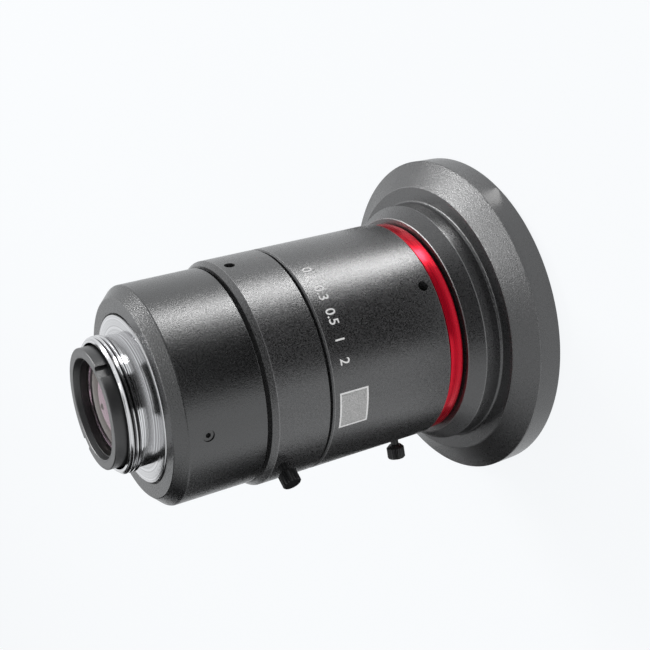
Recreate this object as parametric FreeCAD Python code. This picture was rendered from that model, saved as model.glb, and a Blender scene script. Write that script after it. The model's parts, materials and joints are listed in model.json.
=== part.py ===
import FreeCAD, Part
import math
import os

# A machine vision lens with a C-mount, standing on its front rim.
# Millimetres. +Z is the optical axis, from the front rim up to the C-mount.
# Z = 0 is the plane of the front rim. Angles are in degrees about +Z, from +X.

# Front barrel: the hood, from the rim up to its back
RIM_WALL = 1.6
RIM_HEIGHT = 4.85
RIM_TAPER = 0.15
HOOD_CONE_HEIGHT = 2.8
HOOD_CONE_STEP = 4.75
HOOD_NECK_RADIUS = 24.3
HOOD_NECK_WALL = 2.4
HOOD_NECK_FILLET = 0.5
HOOD_NECK_HEIGHT = 3.55
HOOD_BACK_CONE_HEIGHT = 2.7
HOOD_BACK_STEP = 2.1
FILTER_THREAD_LENGTH = 2.7
FILTER_THREAD_STEP = 0.6
HOOD_WEB_THICKNESS = 1.3

# Gaps between the outer pieces, front to back
FRONT_GAP = 0.75
RED_SEAM = 0.25
RING_GAP = 0.6
REAR_GROOVE = 0.75

# Focus ring and red ring
FOCUS_RING_LENGTH = 25.8
FOCUS_RING_WALL = 3.1
RED_RING_WIDTH = 2.55
RED_RING_INSET = 0.45
RED_RING_WALL = 0.8
RED_RING_EDGE = 0.35
GRIP_EDGE = 0.3

# Iris ring
IRIS_RING_LENGTH = 11.4
IRIS_CHAMFER_LENGTH = 1.0
IRIS_CHAMFER_DEPTH = 0.8
IRIS_EDGE = 0.15
SPACER_INSET = 1.0

# Main barrel: the rear part that shows, and the sleeve under the rings
REAR_BARREL_STEP = 1.02
REAR_BARREL_LENGTH = 17.05
REAR_CHAMFER_LENGTH = 2.1
REAR_CHAMFER_DEPTH = 2.0
SLEEVE_BORE_STEP = 1.26
SLEEVE_WALL = 1.55
IRIS_SLEEVE_STEP = 0.5

# C-mount: 1-32 thread of 25.4 mm
THREAD_RADIUS = 12.7
THREAD_LENGTH = 5.05
THREAD_RELIEF_LENGTH = 2.6
THREAD_RELIEF_DEPTH = 0.45
THREAD_CHAMFER = 0.5
SEAT_WIDTH = 2.94
SEAT_PROUD = 0.25
SEAT_DISC_THICKNESS = 1.0
SEAT_RECESS_GAP = 0.23
MOUNT_WALL = 1.0
MOUNT_HUB_LENGTH = 11.3
MOUNT_GROOVE_DEPTH = 0.7

# Rear cell, with two spanner notches
CELL_GAP = 0.5
CELL_WALL = 1.15
CELL_PROUD = 2.2
CELL_LENGTH = 6.1
CELL_FACE_WIDTH = 1.82
CELL_MOUTH_DEPTH = 1.1
CELL_MOUTH_TAPER = 0.3
CELL_LIP = 1.2
CELL_LIP_DEPTH = 2.3
NOTCH_WIDTH = 2.5
NOTCH_DEPTH = 0.8
NOTCH_LENGTH = 2.15
NOTCH_ANGLE = -58.2

# Set screws, tapped holes and lock screws
SCREW_COUNT = 3
SET_SCREW_ANGLE = -117.4
SET_SCREW_FROM_SEAT = 6.0
SET_SCREW_HOLE_RADIUS = 1.1
SET_SCREW_SUNK = 0.25
SET_SCREW_POINT = 0.25
HEX_SOCKET_FLATS = 0.9
HEX_SOCKET_DEPTH = 0.9
TAPPED_HOLE_RADIUS = 1.0
IRIS_HOLE_FROM_FRONT = 8.45
IRIS_LOCK_ANGLE = 210.0
FOCUS_HOLE_FROM_FRONT = 2.4
FOCUS_LOCK_ANGLE = 166.6
LOCK_HEAD_RADIUS = 1.8
LOCK_HEAD_LENGTH = 2.8
LOCK_HEAD_SHOULDER = 0.6
LOCK_HEAD_EDGE = 0.2
LOCK_NECK_RADIUS = 0.8
IRIS_LOCK_NECK = 1.25
FOCUS_LOCK_NECK = 2.05

# Focus travel: guide pins in straight slots and in helical grooves
FOCUS_TURN = 110.0
FOCUS_TRAVEL = 1.2
GUIDE_PIN_COUNT = 3
GUIDE_PIN_RADIUS = 1.0
GUIDE_PIN_ANGLE = 20.0
GUIDE_PIN_FROM_FRONT = 13.0
GUIDE_PIN_REACH = 1.45
GUIDE_PIN_SEAT = 1.3
GROOVE_FLOOR_GAP = 0.15

# Iris
BLADE_COUNT = 6
BLADE_THICKNESS = 0.12
BLADE_PITCH = 0.2
BLADE_EDGE_GAP = 1.05
BLADE_WIDTH = 5.0
BLADE_SPAN_ANGLE = 100.0
BLADE_PIVOT_FROM_EDGE = 1.4
BLADE_PIN_RADIUS = 0.45
IRIS_STOP_LIP = 0.6
IRIS_PLATE_FROM_FRONT = 1.0
IRIS_HOUSING_WALL = 2.25
IRIS_PLATE_THICKNESS = 0.6
IRIS_TURN = 50.0
ROTOR_LENGTH = 3.9
ROTOR_WALL = 2.9
DRIVE_PIN_RADIUS = 0.75
DRIVE_PIN_ANGLE = 40.0
DRIVE_PIN_FROM_ROTOR = 1.13
DRIVE_PIN_SEAT = 1.85

# Inner barrel
INNER_FLANGE_THICKNESS = 1.5
INNER_FLANGE_CLEARANCE = 0.2
INNER_JOINT_SPIGOT = 0.5
INNER_TUBE_WALL = 1.9
REAR_TUBE_SPIGOT_LENGTH = 2.0
REAR_TUBE_SPIGOT_WALL = 0.6
SHOULDER_FROM_HUB = 1.5

# Glass
FRONT_GLASS_RADIUS = 26.5
FRONT_GLASS_LAND = 4.1
FRONT_GLASS_BEVEL = 2.3
FRONT_GLASS_FRONT_DEPTH = 2.2
FRONT_GLASS_EDGE = 1.25
FRONT_GLASS_CENTRE = 2.2
FRONT_GLASS_SET_BACK = 0.3
FRONT_GLASS_BACK_GAP = 0.2
FRONT_RETAINER_LIP = 1.2
FRONT_RETAINER_LENGTH = 1.9
RETAINER_SLOT_WIDTH = 2.0
RETAINER_SLOT_DEPTH = 0.8
SECOND_GLASS_BEVEL = 1.0
SECOND_GLASS_FRONT_DEPTH = 2.9
SECOND_GLASS_BACK_DEPTH = 6.0
SECOND_GLASS_CENTRE = 2.0
SECOND_SEAT_HEIGHT = 20.2
SECOND_SEAT_STEP = 2.5
THIRD_GLASS_RADIUS = 9.0
THIRD_GLASS_DEPTH = 1.6
THIRD_GLASS_EDGE = 2.0
THIRD_SEAT_HEIGHT = 28.0
THIRD_SEAT_STEP = 0.8
REAR_SEAT_STEP = 0.8
DOUBLET_SEAT_WALL = 1.53
DOUBLET_FRONT_DEPTH = 1.85
DOUBLET_BOND_DEPTH = 3.0
DOUBLET_BACK_DEPTH = 0.7
DOUBLET_FRONT_EDGE = 1.6
DOUBLET_REAR_EDGE = 4.2
RELAY_GLASS_DEPTH = 1.35
RELAY_GLASS_EDGE = 1.8
REAR_GLASS_BACK_DEPTH = 1.1
REAR_GLASS_FRONT_DEPTH = 0.9
REAR_GLASS_EDGE = 3.0
DOUBLET_SPACER_LENGTH = 4.0
RETAINER_WALL = 1.6
RETAINER_LENGTH = 1.4

# The break on sharp outer corners, how far a cutter passes the wall it cuts, and a slot's spare turn
EDGE_BREAK = 0.12
CUT_MARGIN = 1.0
SLOT_END_ANGLE = 0.5

# Clearances
SLIDING_FIT = 0.05
SEAT_CLEARANCE = 0.02
RING_END_CLEARANCE = 0.1
GLASS_CLEARANCE = 0.05

# Heights along the axis
hood_cone_top = RIM_HEIGHT + HOOD_CONE_HEIGHT
hood_neck_top = hood_cone_top + HOOD_NECK_HEIGHT
hood_back = hood_neck_top + HOOD_BACK_CONE_HEIGHT
red_front = hood_back + FRONT_GAP
red_back = red_front + RED_RING_WIDTH
focus_front = red_back + RED_SEAM
focus_back = focus_front + FOCUS_RING_LENGTH
iris_front = focus_back + RING_GAP
iris_back = iris_front + IRIS_RING_LENGTH
rear_front = iris_back + REAR_GROOVE
rear_back = rear_front + REAR_BARREL_LENGTH
seat_z = rear_back + SEAT_PROUD
thread_end = seat_z + THREAD_LENGTH
cell_back = thread_end + CELL_PROUD
cell_front = cell_back - CELL_LENGTH
hub_front = seat_z - SEAT_DISC_THICKNESS - MOUNT_HUB_LENGTH
guide_z = focus_front + GUIDE_PIN_FROM_FRONT
iris_hole_z = iris_front + IRIS_HOLE_FROM_FRONT
focus_hole_z = focus_front + FOCUS_HOLE_FROM_FRONT
set_screw_z = seat_z - SET_SCREW_FROM_SEAT
flange_top = hood_back - HOOD_WEB_THICKNESS
flange_low = flange_top - INNER_FLANGE_THICKNESS
front_vertex = FILTER_THREAD_LENGTH + FRONT_GLASS_SET_BACK
front_edge_z = front_vertex + FRONT_GLASS_FRONT_DEPTH
front_seat = front_edge_z + FRONT_GLASS_EDGE
shoulder_z = hub_front - SHOULDER_FROM_HUB

# Radii of the mount and the rear cell, from the thread inwards and outwards
mount_bore = THREAD_RADIUS - MOUNT_WALL
cell_radius = mount_bore - CELL_GAP
rear_tube_bore = cell_radius - CELL_WALL
rear_glass_radius = rear_tube_bore - GLASS_CLEARANCE
rear_clear_radius = rear_glass_radius - REAR_SEAT_STEP
cell_mouth_radius = cell_radius - CELL_FACE_WIDTH
cell_lip_radius = rear_glass_radius - CELL_LIP
hub_radius = THREAD_RADIUS + SEAT_WIDTH
hub_bore = hub_radius + SLIDING_FIT

# Radii of the main barrel and the rings, from the hub outwards
sleeve_bore = hub_bore + SLEEVE_BORE_STEP
sleeve_radius = sleeve_bore + SLEEVE_WALL
iris_sleeve_radius = sleeve_radius + IRIS_SLEEVE_STEP
focus_bore = sleeve_radius + SLIDING_FIT
iris_bore = iris_sleeve_radius + SLIDING_FIT
grip_radius = focus_bore + FOCUS_RING_WALL
red_radius = grip_radius - RED_RING_INSET
red_bore = red_radius - RED_RING_WALL
spigot_bore = red_bore - RED_RING_WALL
pin_reach_radius = sleeve_radius + GUIDE_PIN_REACH
rear_radius = grip_radius - REAR_BARREL_STEP

# Radii of the carriage and the iris, from the sleeve inwards
carriage_radius = sleeve_bore - SLIDING_FIT
front_bore = carriage_radius - INNER_TUBE_WALL
housing_bore = carriage_radius - IRIS_HOUSING_WALL
rotor_radius = housing_bore - SLIDING_FIT
blade_outer = housing_bore - BLADE_EDGE_GAP
blade_inner = blade_outer - BLADE_WIDTH
blade_pivot = blade_outer - BLADE_PIVOT_FROM_EDGE
iris_stop_radius = blade_inner - IRIS_STOP_LIP

# Radii of the hood, from the front glass outwards and from the neck inwards
glass_seat_radius = FRONT_GLASS_RADIUS + GLASS_CLEARANCE
filter_radius = glass_seat_radius + FRONT_GLASS_LAND
retainer_bore = filter_radius - FILTER_THREAD_STEP
rim_radius = filter_radius + RIM_WALL
hood_cone_radius = rim_radius - HOOD_CONE_STEP
hood_back_radius = HOOD_NECK_RADIUS - HOOD_BACK_STEP
neck_bore = HOOD_NECK_RADIUS - HOOD_NECK_WALL
glass_body_radius = neck_bore - 2 * GLASS_CLEARANCE
glass_clear_radius = glass_body_radius - FRONT_GLASS_BEVEL

# The iris, from its front plate up
plate_front = iris_front + IRIS_PLATE_FROM_FRONT
plate_back = plate_front + IRIS_PLATE_THICKNESS
blades_front = plate_back + RING_END_CLEARANCE
blades_back = blades_front + (BLADE_COUNT - 1) * BLADE_PITCH + BLADE_THICKNESS
cover_front = blades_back + RING_END_CLEARANCE
cover_back = cover_front + IRIS_PLATE_THICKNESS
rotor_front = cover_back + RING_END_CLEARANCE
rotor_back = rotor_front + ROTOR_LENGTH
housing_back = rotor_back + RING_END_CLEARANCE
doublet_seat = housing_back + DOUBLET_SEAT_WALL
drive_z = rotor_front + DRIVE_PIN_FROM_ROTOR


def save(shape, name):
    """Write one named piece."""
    if not shape.isValid() or shape.Volume <= 0:
        raise ValueError("bad solid: " + name)
    shape.exportStep("parts/" + name + ".step")


def point(r, z):
    return FreeCAD.Vector(r, 0, z)


def turned(profile):
    """Turn a closed profile about Z. Each item is a point (r, z), or an arc (r, z, mid_r, mid_z)
    that ends at (r, z) and passes through its middle point."""
    edges = []
    last = profile[-1][:2]
    for item in profile:
        end = item[:2]
        if math.dist(last, end) > 1e-6:
            if len(item) == 4:
                edges.append(Part.Arc(point(*last), point(item[2], item[3]), point(*end)).toShape())
            else:
                edges.append(Part.LineSegment(point(*last), point(*end)).toShape())
        last = end
    face = Part.Face(Part.Wire(edges))
    return face.revolve(FreeCAD.Vector(0, 0, 0), FreeCAD.Vector(0, 0, 1), 360)


def broken(profile, corners):
    """Cut the listed sharp corners of a profile back by the edge break, along both their sides."""
    result = []
    for i, item in enumerate(profile):
        if item in corners:
            for other in (profile[i - 1][:2], profile[(i + 1) % len(profile)][:2]):
                share = EDGE_BREAK / math.dist(item, other)
                result.append((item[0] + (other[0] - item[0]) * share,
                               item[1] + (other[1] - item[1]) * share))
        else:
            result.append(item)
    return result


def ring(inner, outer, low, high):
    """A plain ring between two radii and two heights."""
    body = Part.makeCylinder(outer, high - low, FreeCAD.Vector(0, 0, low))
    if inner > 0:
        body = body.cut(Part.makeCylinder(inner, high - low, FreeCAD.Vector(0, 0, low)))
    return body


def around(shape, angle):
    """A copy of a shape, turned about the lens axis."""
    copy = shape.copy()
    copy.rotate(FreeCAD.Vector(0, 0, 0), FreeCAD.Vector(0, 0, 1), angle)
    return copy


def radial_rod(radius, start, end, z):
    """A round rod that points outwards along +X, from one distance to another."""
    return Part.makeCylinder(radius, end - start, FreeCAD.Vector(start, 0, z), FreeCAD.Vector(1, 0, 0))


def pattern(shape, count, first_angle):
    """Copies of a shape, evenly spaced about the axis."""
    return [around(shape, first_angle + 360.0 * i / count) for i in range(count)]


def slot_sector(inner, outer, low, high, start, end):
    """A sector of a ring, used to cut slots that run round a tube."""
    sector = Part.makeCylinder(outer, high - low, FreeCAD.Vector(0, 0, low),
                               FreeCAD.Vector(0, 0, 1), end - start)
    sector = sector.cut(Part.makeCylinder(inner, high - low, FreeCAD.Vector(0, 0, low)))
    return around(sector, start)


def fall(r, edge, depth):
    """How far a sphere has fallen from its vertex at r, if it falls by depth at the radius edge."""
    curve = (edge * edge + depth * depth) / (2 * depth)
    return curve - math.sqrt(curve * curve - r * r)


def dome(r, edge_z, depth, towards):
    """The middle point and the vertex of a spherical surface that passes through (r, edge_z).
    towards is +1 if the vertex is higher than the edge, -1 if it is lower."""
    vertex = edge_z + towards * depth
    middle = vertex - towards * fall(r / 2, r, depth)
    return (r / 2, middle), (0.0, vertex)


def front_barrel():
    rim_corner = (rim_radius - RIM_TAPER, 0)
    rim_back = (rim_radius, RIM_HEIGHT)
    cone_edge = (hood_cone_radius, hood_cone_top)
    neck_edge = (HOOD_NECK_RADIUS, hood_neck_top)
    back_edge = (hood_back_radius, hood_back)
    fillet_mid = HOOD_NECK_FILLET * (1 - math.sqrt(0.5))
    profile = [
        (filter_radius, 0),
        rim_corner,
        rim_back,
        cone_edge,
        (HOOD_NECK_RADIUS + HOOD_NECK_FILLET, hood_cone_top),
        (HOOD_NECK_RADIUS, hood_cone_top + HOOD_NECK_FILLET,
         HOOD_NECK_RADIUS + fillet_mid, hood_cone_top + fillet_mid),
        neck_edge,
        back_edge,
        (carriage_radius, hood_back),
        (carriage_radius, flange_top),
        (neck_bore, flange_top),
        (neck_bore, front_seat),
        (glass_seat_radius, front_seat),
        (glass_seat_radius, FILTER_THREAD_LENGTH + FRONT_RETAINER_LENGTH),
        (retainer_bore, FILTER_THREAD_LENGTH + FRONT_RETAINER_LENGTH),
        (retainer_bore, FILTER_THREAD_LENGTH),
        (filter_radius, FILTER_THREAD_LENGTH)]
    return turned(broken(profile, [rim_corner, rim_back, cone_edge, neck_edge, back_edge]))


def front_retainer():
    """The threaded ring that holds the front glass, with two slots for a spanner."""
    low = FILTER_THREAD_LENGTH + SEAT_CLEARANCE
    high = FILTER_THREAD_LENGTH + FRONT_RETAINER_LENGTH - SEAT_CLEARANCE
    inner = FRONT_GLASS_RADIUS - FRONT_RETAINER_LIP
    outer = retainer_bore - SLIDING_FIT
    body = turned([
        (inner + RETAINER_WALL, low),
        (outer, low),
        (outer, high),
        (inner, high)])
    slot = Part.makeBox(outer, RETAINER_SLOT_WIDTH, RETAINER_SLOT_DEPTH,
                        FreeCAD.Vector(inner, -RETAINER_SLOT_WIDTH / 2, low))
    for cut in pattern(slot, 2, 0):
        body = body.cut(cut)
    return body


def front_element():
    """A meniscus that is held by its flange and reaches back into the neck."""
    back = flange_low - FRONT_GLASS_BACK_GAP
    back_depth = back - front_vertex - FRONT_GLASS_CENTRE
    seat = front_seat - SEAT_CLEARANCE
    front_mid, front_top = dome(FRONT_GLASS_RADIUS, front_edge_z, FRONT_GLASS_FRONT_DEPTH, -1)
    back_mid, back_top = dome(glass_clear_radius, back, back_depth, -1)
    return turned([
        front_top,
        (FRONT_GLASS_RADIUS, front_edge_z) + front_mid,
        (FRONT_GLASS_RADIUS, seat),
        (glass_body_radius, seat),
        (glass_body_radius, back),
        (glass_clear_radius, back),
        back_top + back_mid])


def inner_barrel_front():
    flange_radius = neck_bore - INNER_FLANGE_CLEARANCE
    seat_step = front_bore - SECOND_SEAT_STEP
    third_bore = THIRD_GLASS_RADIUS + GLASS_CLEARANCE
    third_aperture = third_bore - THIRD_SEAT_STEP
    tube = turned([
        (front_bore, flange_low),
        (flange_radius, flange_low),
        (flange_radius, flange_top),
        (carriage_radius, flange_top),
        (carriage_radius, plate_front - INNER_JOINT_SPIGOT),
        (housing_bore - SLIDING_FIT, plate_front - INNER_JOINT_SPIGOT),
        (housing_bore - SLIDING_FIT, plate_front),
        (third_bore, plate_front),
        (third_bore, THIRD_SEAT_HEIGHT),
        (third_aperture, THIRD_SEAT_HEIGHT),
        (seat_step, SECOND_SEAT_HEIGHT),
        (front_bore, SECOND_SEAT_HEIGHT)])
    seat_floor = carriage_radius - GUIDE_PIN_SEAT
    seat = radial_rod(GUIDE_PIN_RADIUS, seat_floor, carriage_radius + CUT_MARGIN, guide_z)
    for hole in pattern(seat, GUIDE_PIN_COUNT, GUIDE_PIN_ANGLE):
        tube = tube.cut(hole)
    return tube


def guide_pins():
    pin = radial_rod(GUIDE_PIN_RADIUS, carriage_radius - GUIDE_PIN_SEAT, pin_reach_radius, guide_z)
    return Part.Compound(pattern(pin, GUIDE_PIN_COUNT, GUIDE_PIN_ANGLE))


def second_back_vertex():
    return SECOND_SEAT_HEIGHT - SEAT_CLEARANCE - SECOND_GLASS_BACK_DEPTH


def second_element():
    radius = front_bore - GLASS_CLEARANCE
    clear = front_bore - SECOND_SEAT_STEP - SECOND_GLASS_BEVEL
    back = SECOND_SEAT_HEIGHT - SEAT_CLEARANCE
    edge = second_back_vertex() - SECOND_GLASS_CENTRE + SECOND_GLASS_FRONT_DEPTH
    back_mid, back_top = dome(clear, back, SECOND_GLASS_BACK_DEPTH, -1)
    front_mid, front_top = dome(radius, edge, SECOND_GLASS_FRONT_DEPTH, -1)
    return turned([
        front_top,
        (radius, edge) + front_mid,
        (radius, back),
        (clear, back),
        back_top + back_mid])


def second_retainer():
    """The ring whose inner corner bears on the second glass's front surface."""
    radius = front_bore - GLASS_CLEARANCE
    inner = front_bore - RETAINER_WALL
    vertex = second_back_vertex() - SECOND_GLASS_CENTRE
    high = vertex + fall(inner, radius, SECOND_GLASS_FRONT_DEPTH) - SEAT_CLEARANCE
    return ring(inner, radius, high - RETAINER_LENGTH, high)


def third_element():
    front = THIRD_SEAT_HEIGHT + SEAT_CLEARANCE
    clear = THIRD_GLASS_RADIUS - THIRD_SEAT_STEP
    back = front + THIRD_GLASS_EDGE
    front_mid, front_top = dome(clear, front, THIRD_GLASS_DEPTH, -1)
    back_mid, back_top = dome(clear, back, THIRD_GLASS_DEPTH, 1)
    return turned([
        front_top,
        (clear, front) + front_mid,
        (THIRD_GLASS_RADIUS, front),
        (THIRD_GLASS_RADIUS, back),
        (clear, back),
        back_top + back_mid])


def third_retainer():
    low = THIRD_SEAT_HEIGHT + THIRD_GLASS_EDGE + 2 * SEAT_CLEARANCE
    inner = THIRD_GLASS_RADIUS - THIRD_SEAT_STEP
    return ring(inner, THIRD_GLASS_RADIUS, low, low + RETAINER_LENGTH)


def drive_slot_half_width():
    return DRIVE_PIN_RADIUS + RING_END_CLEARANCE


def drive_slot_margin(radius):
    """How far past the pin's middle, in degrees, a slot that runs round a tube reaches."""
    return math.degrees(drive_slot_half_width() / radius) + SLOT_END_ANGLE


def inner_barrel_rear():
    aperture = rear_tube_bore - REAR_SEAT_STEP
    spigot = cell_radius - REAR_TUBE_SPIGOT_WALL
    spigot_end = cell_front + REAR_TUBE_SPIGOT_LENGTH
    low = plate_front - INNER_JOINT_SPIGOT
    tube = turned([
        (housing_bore, low),
        (carriage_radius, low),
        (carriage_radius, shoulder_z),
        (cell_radius, shoulder_z),
        (cell_radius, cell_front),
        (spigot, cell_front),
        (spigot, spigot_end),
        (rear_tube_bore, spigot_end),
        (rear_tube_bore, doublet_seat),
        (aperture, doublet_seat),
        (aperture, housing_back),
        (housing_bore, housing_back)])
    margin = drive_slot_margin(housing_bore)
    half = drive_slot_half_width()
    slot = slot_sector(housing_bore - CUT_MARGIN, carriage_radius + CUT_MARGIN,
                       drive_z - half, drive_z + half + FOCUS_TRAVEL,
                       DRIVE_PIN_ANGLE - margin, DRIVE_PIN_ANGLE + IRIS_TURN + margin)
    return tube.cut(slot)


def blade_angle(index):
    return 360.0 * index / BLADE_COUNT


def blade_level(index):
    """The blades are stacked so that each pivot pin has a clear way to its plate."""
    return blades_front + (BLADE_COUNT - 1 - index) * BLADE_PITCH


def iris_plate(inner, low, high, pivots):
    """A flat plate with a hole for the light and one for each pivot pin that it holds."""
    plate = ring(inner, housing_bore - SLIDING_FIT, low, high)
    for index in pivots:
        hole = Part.makeCylinder(BLADE_PIN_RADIUS + SLIDING_FIT, high - low,
                                 FreeCAD.Vector(blade_pivot, 0, low))
        plate = plate.cut(around(hole, blade_angle(index)))
    return plate


def iris_blade(index):
    """A crescent with round ends and one pivot pin, at its own level of the stack."""
    low = blade_level(index)
    middle = blade_inner + BLADE_WIDTH / 2
    cap = BLADE_PIVOT_FROM_EDGE
    band = slot_sector(blade_inner, blade_outer, low, low + BLADE_THICKNESS, 0, BLADE_SPAN_ANGLE)
    pivot_end = Part.makeCylinder(cap, BLADE_THICKNESS, FreeCAD.Vector(blade_pivot, 0, low))
    tail = Part.makeCylinder(BLADE_WIDTH / 2, BLADE_THICKNESS, FreeCAD.Vector(middle, 0, low))
    blade = band.fuse([pivot_end, around(tail, BLADE_SPAN_ANGLE)])
    if index == 0:
        pin_low = low
        pin_high = cover_back - SEAT_CLEARANCE
    else:
        pin_low = plate_front + SEAT_CLEARANCE
        pin_high = low + BLADE_THICKNESS
    pin = Part.makeCylinder(BLADE_PIN_RADIUS, pin_high - pin_low, FreeCAD.Vector(blade_pivot, 0, pin_low))
    return around(blade.fuse(pin).removeSplitter(), blade_angle(index))


def iris_rotor():
    body = ring(rotor_radius - ROTOR_WALL, rotor_radius, rotor_front, rotor_back)
    width = 2 * (DRIVE_PIN_RADIUS + SLIDING_FIT)
    low = drive_z - drive_slot_half_width()
    notch = Part.makeBox(ROTOR_WALL + 2 * CUT_MARGIN, width, rotor_back - low,
                         FreeCAD.Vector(rotor_radius - ROTOR_WALL - CUT_MARGIN, -width / 2, low))
    return body.cut(around(notch, DRIVE_PIN_ANGLE))


def iris_drive_pin():
    pin = radial_rod(DRIVE_PIN_RADIUS, rotor_radius - ROTOR_WALL / 2, iris_bore + DRIVE_PIN_SEAT, drive_z)
    return around(pin, DRIVE_PIN_ANGLE)


def lens_stack():
    """Heights of the rear glass, from the doublet's seat up to the rear cell's lip."""
    heights = {}
    heights["doublet"] = doublet_seat + SEAT_CLEARANCE
    heights["doublet_back"] = heights["doublet"] + DOUBLET_FRONT_EDGE + DOUBLET_REAR_EDGE
    heights["relay"] = heights["doublet_back"] + DOUBLET_SPACER_LENGTH + 2 * SEAT_CLEARANCE
    heights["relay_back"] = heights["relay"] + RELAY_GLASS_EDGE
    heights["rear_back"] = cell_back - CELL_LIP_DEPTH - SEAT_CLEARANCE
    heights["rear"] = heights["rear_back"] - REAR_GLASS_EDGE
    return heights


def doublet_front():
    low = lens_stack()["doublet"]
    high = low + DOUBLET_FRONT_EDGE
    front_mid, front_top = dome(rear_clear_radius, low, DOUBLET_FRONT_DEPTH, -1)
    back_mid, back_top = dome(rear_glass_radius, high, DOUBLET_BOND_DEPTH, 1)
    return turned([
        front_top,
        (rear_clear_radius, low) + front_mid,
        (rear_glass_radius, low),
        (rear_glass_radius, high),
        back_top + back_mid])


def doublet_rear():
    low = lens_stack()["doublet"] + DOUBLET_FRONT_EDGE
    high = lens_stack()["doublet_back"]
    front_mid, front_top = dome(rear_glass_radius, low, DOUBLET_BOND_DEPTH, 1)
    back_mid, back_top = dome(rear_clear_radius, high, DOUBLET_BACK_DEPTH, 1)
    return turned([
        front_top,
        (rear_glass_radius, low) + front_mid,
        (rear_glass_radius, high),
        (rear_clear_radius, high),
        back_top + back_mid])


def doublet_spacer():
    low = lens_stack()["doublet_back"] + SEAT_CLEARANCE
    high = lens_stack()["relay"] - SEAT_CLEARANCE
    return ring(rear_clear_radius, rear_glass_radius, low, high)


def relay_element():
    low = lens_stack()["relay"]
    high = lens_stack()["relay_back"]
    front_mid, front_top = dome(rear_clear_radius, low, RELAY_GLASS_DEPTH, -1)
    back_mid, back_top = dome(rear_clear_radius, high, RELAY_GLASS_DEPTH, 1)
    return turned([
        front_top,
        (rear_clear_radius, low) + front_mid,
        (rear_glass_radius, low),
        (rear_glass_radius, high),
        (rear_clear_radius, high),
        back_top + back_mid])


def rear_spacer():
    low = lens_stack()["relay_back"] + SEAT_CLEARANCE
    high = lens_stack()["rear"] - SEAT_CLEARANCE
    return ring(rear_clear_radius, rear_glass_radius, low, high)


def rear_element():
    low = lens_stack()["rear"]
    high = lens_stack()["rear_back"]
    front_mid, front_top = dome(rear_clear_radius, low, REAR_GLASS_FRONT_DEPTH, 1)
    back_mid, back_top = dome(cell_lip_radius, high, REAR_GLASS_BACK_DEPTH, 1)
    return turned([
        front_top,
        (rear_clear_radius, low) + front_mid,
        (rear_glass_radius, low),
        (rear_glass_radius, high),
        (cell_lip_radius, high),
        back_top + back_mid])


def rear_cell():
    """The threaded cup that holds the rear glass, with two notches for a spanner."""
    spigot = cell_radius - REAR_TUBE_SPIGOT_WALL
    spigot_end = cell_front + REAR_TUBE_SPIGOT_LENGTH
    lip = cell_back - CELL_LIP_DEPTH
    mouth = cell_back - CELL_MOUTH_DEPTH
    outer_edge = (cell_radius, cell_back)
    inner_edge = (cell_mouth_radius, cell_back)
    profile = [
        (spigot, cell_front),
        (cell_radius, cell_front),
        outer_edge,
        inner_edge,
        (cell_mouth_radius - CELL_MOUTH_TAPER, mouth),
        (cell_lip_radius, mouth),
        (cell_lip_radius, lip),
        (rear_tube_bore, lip),
        (rear_tube_bore, spigot_end),
        (spigot, spigot_end)]
    cell = turned(broken(profile, [outer_edge, inner_edge]))
    corner = FreeCAD.Vector(cell_radius - NOTCH_DEPTH, -NOTCH_WIDTH / 2, cell_back - NOTCH_LENGTH)
    notch = Part.makeBox(NOTCH_DEPTH + CUT_MARGIN, NOTCH_WIDTH, NOTCH_LENGTH + CUT_MARGIN, corner)
    for cut in pattern(notch, 2, NOTCH_ANGLE):
        cell = cell.cut(cut)
    return cell


def main_barrel():
    sleeve_front = red_front + RING_END_CLEARANCE
    recess = hub_radius + SEAT_RECESS_GAP
    front_edge = (rear_radius, rear_front)
    chamfer_edge = (rear_radius, rear_back - REAR_CHAMFER_LENGTH)
    back_edge = (rear_radius - REAR_CHAMFER_DEPTH, rear_back)
    recess_edge = (recess, rear_back)
    profile = [
        (sleeve_bore, sleeve_front),
        (sleeve_radius, sleeve_front),
        (sleeve_radius, iris_front - RING_END_CLEARANCE),
        (iris_sleeve_radius, iris_front - RING_END_CLEARANCE),
        (iris_sleeve_radius, rear_front),
        front_edge,
        chamfer_edge,
        back_edge,
        recess_edge,
        (recess, seat_z - SEAT_DISC_THICKNESS),
        (hub_bore, seat_z - SEAT_DISC_THICKNESS),
        (hub_bore, hub_front),
        (sleeve_bore, hub_front)]
    barrel = turned(broken(profile, [front_edge, chamfer_edge, back_edge, recess_edge]))
    slot_half = GUIDE_PIN_RADIUS + SLIDING_FIT
    slot_low = guide_z - FOCUS_TRAVEL - slot_half
    slot = Part.makeBox(SLEEVE_WALL + 2 * CUT_MARGIN, 2 * slot_half, FOCUS_TRAVEL + 2 * slot_half,
                        FreeCAD.Vector(sleeve_bore - CUT_MARGIN, -slot_half, slot_low))
    for cut in pattern(slot, GUIDE_PIN_COUNT, GUIDE_PIN_ANGLE):
        barrel = barrel.cut(cut)
    margin = drive_slot_margin(sleeve_bore)
    half = drive_slot_half_width()
    drive_slot = slot_sector(sleeve_bore - CUT_MARGIN, iris_sleeve_radius + CUT_MARGIN,
                             drive_z - half, drive_z + half,
                             DRIVE_PIN_ANGLE - margin, DRIVE_PIN_ANGLE + IRIS_TURN + margin)
    barrel = barrel.cut(drive_slot)
    hole = radial_rod(SET_SCREW_HOLE_RADIUS, hub_bore - CUT_MARGIN, rear_radius + CUT_MARGIN, set_screw_z)
    for cut in pattern(hole, SCREW_COUNT, SET_SCREW_ANGLE):
        barrel = barrel.cut(cut)
    return barrel


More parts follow.
